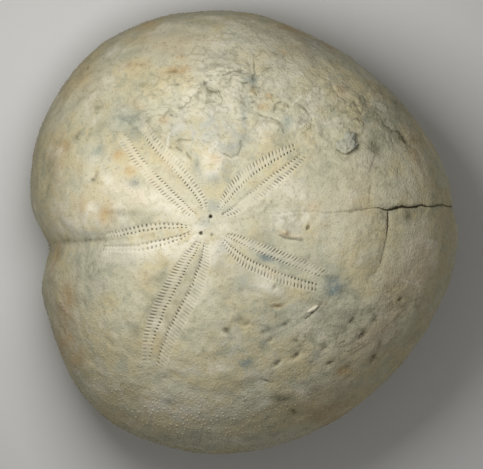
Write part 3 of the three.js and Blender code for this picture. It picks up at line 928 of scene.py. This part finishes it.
def tubercleMeshes():
    # Each boss is its profile turned round the normal: a foot below the surface, a shoulder and a tip.
    plan = tubercles
    centre, normal, fresh, size = bossSites()
    tall = plan["height"] * size * (plan["shrink"][1] + (1 - plan["shrink"][1]) * fresh)
    side = np.cross(normal, [0.0, 0.83, 0.55])
    side = side / np.linalg.norm(side, axis=-1, keepdims=True)
    other = np.cross(normal, side)
    sides, levels = plan["sides"], len(plan["profile"])
    turn = 2 * math.pi * np.arange(sides)[:, None] / sides
    direction = side[:, None] * np.cos(turn) + other[:, None] * np.sin(turn)
    layers = []
    for outShare, upShare in plan["profile"]:
        out, up = plan["radius"] * outShare * size, tall * upShare
        layers.append(centre[:, None] + direction * out[:, None, None] + (normal * up[:, None])[:, None])
    points = np.concatenate([*layers, (centre + normal * tall[:, None])[:, None]], axis=1)
    perBoss = sides * levels + 1
    around = np.arange(sides)
    beyond = (around + 1) % sides
    start = np.arange(levels - 1)[:, None] * sides
    corners = (start + around, start + beyond, start + sides + beyond, start + sides + around)
    quads = np.stack(corners, axis=-1).reshape(-1, 4)
    top = (levels - 1) * sides
    caps = np.stack([top + around, top + beyond, np.full(sides, perBoss - 1)], axis=-1)
    upShares = np.clip([*np.repeat([up for _, up in plan["profile"]], sides), 1.0], 0.0, 1.0)
    fields = stainFields(*centre.T)
    upper = centre[:, 2] > plan["partHeight"]
    pieces = []
    for name, chosen in (("lowerTubercles", ~upper), ("upperTubercles", upper)):
        count = int(chosen.sum())
        base = (np.arange(count) * perBoss)[:, None, None]
        bossFaces = (base + quads).reshape(-1, 4).tolist() + (base + caps).reshape(-1, 3).tolist()
        piece = meshObject(name, (points[chosen].reshape(-1, 3) + apex) * millimetre, bossFaces)
        # The material paints each boss's tip with a highlight and its foot with shade, by these shares.
        setAttribute(piece, "bossTipHighlight", np.tile(upShares, count))
        setAttribute(piece, "bossFootShade", np.tile(1.0 - upShares, count))
        for field, values in fields.items():
            setAttribute(piece, field, np.repeat(values[chosen], perBoss))
        pieces.append(piece)
        print(f"stage: {name}, {count} bosses, {count * (len(quads) * 2 + len(caps))} triangles")
    return pieces


bosses = tubercleMeshes()

# Two crumbs stuck to the test: a nodule of hard clay and a chip of white calcite. Each is a lumpy
# ellipsoid; "faceted" says how far its sides are pressed toward a box.
crumbs = {
    "clayNodule": {
        "place": [23.3, 13.8],
        "sizes": [1.95, 1.35, 1.0],
        "turn": 34.0,
        "sunk": 0.1,
        "seed": 64,
        "faceted": 1.35,
        "rough": 0.75,
        "stains": {"blue": 0.35, "grey": 0.25, "chalkAndLight": 0.4},
    },
    "calciteChip": {
        "place": [17.75, -13.95],
        "sizes": [0.98, 0.30, 0.40],
        "turn": 33.0,
        "sunk": 0.05,
        "seed": 62,
        "faceted": 1.2,
        "rough": 0.5,
        "stains": {"chalkAndLight": 2.2},
    },
}


def crumbMesh(name, plan):
    # Point on the ellipsoid: each direction cosine keeps its sign and is raised to a power below one,
    # which fills the corners; then noise swells and dents it. It sits on the nearest point of the test.
    rows, lines = 26, 40
    polar = math.pi * np.arange(1, rows + 1)[:, None] / (rows + 1)
    turn = 2 * math.pi * np.arange(lines)[None, :] / lines
    ball = np.broadcast_arrays(np.sin(polar) * np.cos(turn), np.sin(polar) * np.sin(turn), np.cos(polar))
    direction = np.stack(ball, axis=-1).reshape(-1, 3)
    direction = np.concatenate([[[0.0, 0.0, 1.0]], direction, [[0.0, 0.0, -1.0]]])
    shape = np.sign(direction) * np.abs(direction) ** (1.0 / plan["faceted"])
    swell = 1.0 + plan["rough"] * fractalNoise(direction + plan["seed"], 0.7, plan["seed"])
    points = shape * swell[:, None] * np.array(plan["sizes"])
    # Only the upper side counts: points below the girth are put out of reach.
    away = np.hypot(x - plan["place"][0], y - plan["place"][1]) + 100.0 * (z < bodyShape["girthHeight"])
    nearest = np.unravel_index(np.argmin(away), away.shape)
    up = normals[nearest]
    c, s = math.cos(math.radians(plan["turn"])), math.sin(math.radians(plan["turn"]))
    first = np.array([c, s, 0.0]) - up * (up[0] * c + up[1] * s)
    first = first / np.linalg.norm(first)
    axes = np.stack([first, np.cross(up, first), up])
    seat = np.array([*plan["place"], 0.0])
    seat[2] = surface[nearest][2] - ((seat - surface[nearest]) * up)[:2].sum() / up[2]
    points = points @ axes + seat + up * (plan["sunk"] * plan["sizes"][2])
    piece = meshObject(name, (points + apex) * millimetre, closedFaces(rows, lines))
    for stain, strength in plan["stains"].items():
        setAttribute(piece, stain, np.full(len(points), strength))
    return piece


crumbPieces = [crumbMesh(name, plan) for name, plan in crumbs.items()]
print("stage: crumbs set")


def linear(hexColour):
    # sRGB hex to linear colour with full alpha.
    values = [int(hexColour[i : i + 2], 16) / 255 for i in (1, 3, 5)]
    return [v / 12.92 if v <= 0.04045 else ((v + 0.055) / 1.055) ** 2.4 for v in values] + [1.0]


def addNode(tree, kind, inputs, output=0, **settings):
    # Adds one node, sets its properties, fills or links its inputs by number or name, and gives an output.
    made = tree.nodes.new("ShaderNode" + kind)
    for key, value in settings.items():
        setattr(made, key, value)
    for place, value in inputs.items():
        if isinstance(value, bpy.types.NodeSocket):
            tree.links.new(value, made.inputs[place])
        else:
            made.inputs[place].default_value = value
    return made.outputs[output] if made.outputs else None


# Weathered fossil limestone: calcite plates over a grey clay-rich fill. Dull, warm cream where it is
# clean, greyer where clay holds on, with iron stain in soft spots and a fine sugary grain; shade is
# painted into pores, cracks, pits, step risers, tubercle feet and the flanks, and light onto tubercle
# tips and chalk marks. All sizes and widths are in millimetres.
limestone = {
    "colours": {
        "cream": "#d1ccaf",
        "warm": "#d2c69f",
        "cool": "#b1b298",
        "pale": "#efe8d2",
        "rust": "#c79f64",
        "steel": "#82908d",
        "slate": "#93927d",
        "mud": "#857d66",
        "darkOliveAndShade": "#6d6a4f",
        "clay": "#6f6c55",
        "shadow": "#40361f",
        "pit": "#57492f",
        "apicalPoreShadow": "#231b0d",
        "speck": "#b9b5a8",
        "flankShade": "#9a8f70",
    },
    # Random fields: [size of the features, detail, roughness, distortion].
    "noises": {
        "mottle": [2.4, 4, 0.62, 0.5],
        "specks": [0.62, 3, 0.6, 0],
        "grain": [0.26, 2, 0.6, 0],
        "patches": [9, 3, 0.55, 0],
        "drift": [5.5, 3, 0.6, 0.3],
        "winding": [3.2, 2, 0.5, 0.5],
        "breaks": [2.3, 2, 0.55, 0],
        "netPatches": [3.4, 2, 0.55, 0],
        "dirtPatches": [1.2, 2, 0.55, 0],
    },
    # The ground: cream drifts to warm, cool and pale in patches, and is painted with shade down the flanks.
    # Layers are [field, its value where the layer starts, its value where it is full, its strength there,
    # colour].
    "ground": [
        ["patches", 0.44, 0.60, 1, "warm"],
        ["mottle", 0.46, 0.66, 0.62, "cool"],
        ["drift", 0.54, 0.72, 0.6, "pale"],
        # Painted shade: darker towards the bottom of the test, by height.
        ["height", 0.025, 0.008, 0.45, "flankShade"],  # heights in metres
    ],
    # Stains, some of them painted light and shade: [mask, share that holds, share that comes and goes with
    # the mottle, most, colour].
    "stains": [
        ["chalkAndLight", 0.1, 1.2, 0.85, "pale"],
        ["grey", 0.5, 0.6, 0.65, "slate"],
        ["blue", 0.5, 0.7, 0.85, "steel"],
        ["ochre", 0.4, 0.8, 0.8, "rust"],
        ["oliveStainAndShadow", 0.5, 0.8, 0.8, "darkOliveAndShade"],
    ],
    # Painted shade: darker on the risers of flaked steps and in the pits.
    "ledgeAndPitShade": [
        ["ledge", 0.2, 1.0, 0.32, "darkOliveAndShade"],
        ["pitted", 0.25, 1.0, 0.58, "pit"],
    ],
    # Sugar grain and dark specks.
    "grain": [
        ["specks", 0.54, 0.72, 0.45, "speck"],
        ["grain", 0.50, 0.30, 0.30, "speck"],
    ],
    # Pores are painted dark as shadow between pale worn ridges, the apical pores darkest; a tubercle's foot
    # is painted with shade and its tip with a highlight.
    "relief": [
        ["bossFootShade", 0.4, 1.0, 0.35, "darkOliveAndShade"],
        ["bossTipHighlight", 0.5, 0.95, 0.22, "pale"],
        ["column", 0.2, 0.9, 0.28, "pale"],
        ["pore", 0.06, 0.72, 0.94, "shadow"],
        ["apical", 0.1, 0.95, 0.97, "apicalPoreShadow"],
    ],
    "crustLines": 0.18,
    "crustNet": 0.24,
    "cellSize": 1.9,
    "cellWander": 0.9,
    "granuleSize": 0.42,
    "granuleSmoothness": 0.35,
    # Each kind of crack: [half width where it gapes full, how far settled clay reaches from it].
    "cracks": {"rear": [0.17, 0.42], "fine": [0.22, 0.33]},
    "crackJitter": 0.5,
    # How much the fields raise the fine relief where the stone is not rubbed, and anywhere.
    "roughBumps": [["grain", 0.30], ["specks", 0.70], ["granules", -0.40]],
    "bumps": [["crustLines", -0.6], ["crustNet", -0.35]],
    "crackBump": -0.8,
    "bumpStrength": 0.65,
    "bumpHeight": 0.22,
    "roughness": 0.86,
    "specular": 0.3,
}
meshFields = ["chalkAndLight", "grey", "blue", "ochre", "oliveStainAndShadow", "sediment", "flaked", "smooth", "ledge", "pitted",
              "bossFootShade", "bossTipHighlight", "column", "pore", "apical", "rearAcross", "rearGape", "rearClay",
              "fineAcross", "fineGape", "fineClay"]

# What a step of the material does: [node, the inputs that its values fill, output, settings]. "share" rises
# smoothly from zero at its second value to its fourth at its third; "paint" lays its third value over its
# second by its first, and "shade" darkens by it. Any other word is a sum of the Math node.
actions = {
    "share": ["MapRange", [0, 1, 2, 4], 0, {"interpolation_type": "SMOOTHSTEP"}],
    "paint": ["Mix", [0, 6, 7], 2, {"data_type": "RGBA"}],
    "shade": ["Mix", [0, 6, 7], 2, {"data_type": "RGBA", "blend_type": "MULTIPLY"}],
}


def addSteps(tree, fields, steps):
    # Adds a node for each step: [result, action, values]; a word among the values is an earlier result.
    for result, action, *values in steps:
        plain = ["Math", [0, 1, 2], 0, {"operation": action}]
        kind, places, output, settings = actions.get(action, plain)
        values = [fields[value] if isinstance(value, str) else value for value in values]
        fields[result] = addNode(tree, kind, dict(zip(places, values)), output, **settings)


def addLayers(tree, fields, layers, action="paint"):
    # Lays the colour of each layer over the colour so far, as strongly as the layer's field says.
    for field, low, high, most, paint in layers:
        addSteps(tree, fields, [
            ["share", "share", field, low, high, most],
            ["colour", action, "share", "colour", paint],
        ])


def limestoneMaterial(name):
    # Ground colour with painted shade down the flanks first, then stains with some painted light and shade,
    # crust, painted shade on ledges and in pits, grain, pores and cracks over one another.
    look = limestone
    material = bpy.data.materials.new(name)
    material.use_nodes = True
    tree = material.node_tree
    tree.nodes.clear()
    coords = addNode(tree, "TexCoord", {}, "Object")
    fields = {colour: linear(value) for colour, value in look["colours"].items()}
    fields["colour"] = fields["cream"]
    fields["height"] = addNode(tree, "SeparateXYZ", {0: coords}, "Z")
    for field in meshFields:
        fields[field] = addNode(tree, "Attribute", {}, "Fac", attribute_name=field)
    for field, (size, *character) in look["noises"].items():
        inputs = dict(zip(("Detail", "Roughness", "Distortion"), character))
        inputs |= {"Vector": coords, "Scale": 1 / (size * millimetre)}
        fields[field] = addNode(tree, "TexNoise", inputs)
    addLayers(tree, fields, look["ground"])

    # Stains are soft and a little ragged: part of each mask holds, and part comes and goes.
    addSteps(tree, fields, [["ragged", "share", "mottle", 0.32, 0.64, 1]])
    for field, held, broken, most, paint in look["stains"]:
        addSteps(tree, fields, [
            ["share", "MULTIPLY_ADD", "ragged", broken, held],
            ["share", "MULTIPLY", "share", field],
            ["share", "MINIMUM", "share", most],
            ["colour", "paint", "share", "colour", paint],
        ])
    addLayers(tree, fields, [["sediment", 0.15, 0.75, 0.7, "mud"]])

    # The net of the crust: edges of cells whose coordinates wander.
    cellScale = 1 / (look["cellSize"] * millimetre)
    wander = addNode(tree, "TexNoise", {"Vector": coords, "Scale": cellScale}, "Color")
    reach = [look["cellWander"] * millimetre] * 3
    shifted = addNode(tree, "VectorMath", {0: wander, 1: reach, 2: coords}, operation="MULTIPLY_ADD")
    inputs = {"Vector": shifted, "Scale": cellScale}
    fields["cells"] = addNode(tree, "TexVoronoi", inputs, "Distance", feature="DISTANCE_TO_EDGE")
    inputs = {"Vector": coords, "Scale": 1 / (look["granuleSize"] * millimetre)}
    inputs["Smoothness"] = look["granuleSmoothness"]
    fields["granules"] = addNode(tree, "TexVoronoi", inputs, "Distance", feature="SMOOTH_F1")

    # Crust of the flaked places: short dark lines where a random field crosses its middle, and the net.
    addSteps(tree, fields, [
        ["offMiddle", "SUBTRACT", "winding", 0.5],
        ["offMiddle", "ABSOLUTE", "offMiddle"],
        ["line", "share", "offMiddle", 0.030, 0.004, 1],
        ["broken", "share", "breaks", 0.52, 0.62, 1],
        ["crusted", "share", "flaked", 0.15, 0.7, 1],
        ["broken", "MULTIPLY", "broken", "crusted"],
        ["crustLines", "MULTIPLY", "line", "broken"],
        ["share", "MULTIPLY", "crustLines", look["crustLines"]],
        ["colour", "paint", "share", "colour", "darkOliveAndShade"],
        ["edges", "share", "cells", 0.22, 0.02, 1],
        ["there", "share", "netPatches", 0.42, 0.58, 1],
        ["crusted", "share", "flaked", -0.1, 0.5, 1],
        ["edges", "MULTIPLY", "edges", "there"],
        ["crustNet", "MULTIPLY", "edges", "crusted"],
        ["share", "MULTIPLY", "crustNet", look["crustNet"]],
        ["colour", "paint", "share", "colour", "darkOliveAndShade"],
    ])
    addLayers(tree, fields, look["ledgeAndPitShade"])
    addLayers(tree, fields, look["grain"], "shade")
    addLayers(tree, fields, look["relief"])

    # Fine relief, flatter where the stone is rubbed.
    fields["bump"] = 0.0
    addSteps(tree, fields, [["bump", "MULTIPLY_ADD", *row, "bump"] for row in look["roughBumps"]])
    addSteps(tree, fields, [
        ["rough", "share", "smooth", 1.3, -0.2, 1],
        ["bump", "MULTIPLY", "bump", "rough"],
    ])
    addSteps(tree, fields, [["bump", "MULTIPLY_ADD", *row, "bump"] for row in look["bumps"]])

    # Cracks are painted dark with shadow within their half width, and have a border of settled clay, or a
    # pale one.
    jitter = look["crackJitter"]
    addSteps(tree, fields, [
        ["jitter", "MULTIPLY_ADD", "specks", jitter, -jitter / 2],
        ["patchy", "share", "dirtPatches", 0.30, 0.54, 1],
    ])
    for crack, (halfWidth, clayWidth) in look["cracks"].items():
        addSteps(tree, fields, [
            ["away", "ADD", crack + "Across", "jitter"],
            ["away", "ABSOLUTE", "away"],
            ["settled", "share", "away", clayWidth, 0.03, 1],
            ["settled", "MULTIPLY", "settled", crack + "Clay"],
            ["share", "share", "settled", -0.05, -0.9, 0.55],
            ["colour", "paint", "share", "colour", "pale"],
            ["settled", "MULTIPLY", "settled", "patchy"],
            ["share", "share", "settled", 0.05, 0.9, 0.54],
            ["colour", "paint", "share", "colour", "clay"],
            ["wide", "MULTIPLY_ADD", crack + "Gape", halfWidth, 0.01],
            ["widths", "DIVIDE", "away", "wide"],
            ["dark", "share", "widths", 1.5, 0.7, 0.95],
            ["open", "share", crack + "Gape", 0.02, 0.6, 1],
            ["dark", "MULTIPLY", "dark", "open"],
            ["colour", "paint", "dark", "colour", "shadow"],
            ["bump", "MULTIPLY_ADD", "dark", look["crackBump"], "bump"],
        ])

    inputs = {"Height": fields["bump"], "Strength": look["bumpStrength"]}
    bump = addNode(tree, "Bump", inputs | {"Distance": look["bumpHeight"] * millimetre})
    inputs = {"Base Color": fields["colour"], "Roughness": look["roughness"], "Normal": bump}
    shader = addNode(tree, "BsdfPrincipled", inputs | {"Specular IOR Level": look["specular"]})
    addNode(tree, "OutputMaterial", {"Surface": shader})
    return material


weathered = limestoneMaterial("weatheredLimestone")
for piece in (test, *bosses, *crumbPieces):
    piece.data.materials.append(weathered)
    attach(piece, "root")
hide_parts("test")
print("stage: materials and bodies set")

# Studio: a pale floor, one soft lamp close above the crown and a little behind it, and pale air. The
# lamp is near, so that its light falls off from the crown to the girth. Sizes and places in metres.
studio = {
    "floorColour": "#efeeeb",
    "floorRoughness": 0.9,
    "floorSize": 3.0,
    "airColour": "#ffffff",
    "airStrength": 0.195,
    "lampPower": 0.066,
    "lampSize": 0.06,
    "lampPlace": [-0.026, 0.026, 0.110],
    "lampAim": [-0.006, 0.001, 0.02],
}


def makeFloor():
    # One large square at the resting plane.
    side = studio["floorSize"] / 2
    corners = np.array([[-side, -side, 0], [side, -side, 0], [side, side, 0], [-side, side, 0]])
    floor = meshObject("floor", corners + np.array([0, 0, cadLow.z]), [[0, 1, 2, 3]])
    material = bpy.data.materials.new("matteFloor")
    material.use_nodes = True
    shader = material.node_tree.nodes["Principled BSDF"]
    shader.inputs["Base Color"].default_value = linear(studio["floorColour"])
    shader.inputs["Roughness"].default_value = studio["floorRoughness"]
    floor.data.materials.append(material)


def makeLamp():
    # A square area lamp, turned so that it looks along the line from its place to its aim.
    lamp = bpy.data.lights.new("keyLamp", "AREA")
    lamp.energy = studio["lampPower"]
    lamp.size = studio["lampSize"]
    lampObject = bpy.data.objects.new("keyLamp", lamp)
    bpy.context.scene.collection.objects.link(lampObject)
    lampObject.location = studio["lampPlace"]
    direction = Vector(studio["lampAim"]) - Vector(studio["lampPlace"])
    lampObject.rotation_euler = direction.to_track_quat("-Z", "Y").to_euler()
    lampObject.visible_camera = False


def makeAir():
    # Even light from all sides.
    world = bpy.data.worlds.new("paleAir")
    world.use_nodes = True
    background = world.node_tree.nodes["Background"]
    background.inputs["Color"].default_value = linear(studio["airColour"])
    background.inputs["Strength"].default_value = studio["airStrength"]
    bpy.context.scene.world = world


# The camera stands straight above the crown; its long lens keeps the view nearly parallel. "frameWidth"
# is how much of the level at "levelHeight" fills the frame, in millimetres.
cameraPlan = {
    "frameWidth": 82.1,
    "levelHeight": 16.0,
    "offset": [-0.34, -0.38],
    "distance": 2400.0,
    "sensor": 36.0,
}


def makeCamera():
    # Lens length: sensor width times distance to the level, divided by the width shown there.
    data = bpy.data.cameras.new("camera")
    data.sensor_width = cameraPlan["sensor"]
    run = cameraPlan["distance"] - cameraPlan["levelHeight"]
    data.lens = data.sensor_width * run / cameraPlan["frameWidth"]
    data.clip_end = 10.0
    camera = bpy.data.objects.new("camera", data)
    bpy.context.scene.collection.objects.link(camera)
    middleX, middleY = (
        (low + high) / 2 + shift * millimetre
        for low, high, shift in zip(cadLow[:2], cadHigh[:2], cameraPlan["offset"]))
    camera.location = (middleX, middleY, cadLow.z + cameraPlan["distance"] * millimetre)
    bpy.context.scene.camera = camera


makeFloor()
makeLamp()
makeAir()
makeCamera()
bpy.context.scene.view_settings.view_transform = "Standard"
print("stage: studio set")
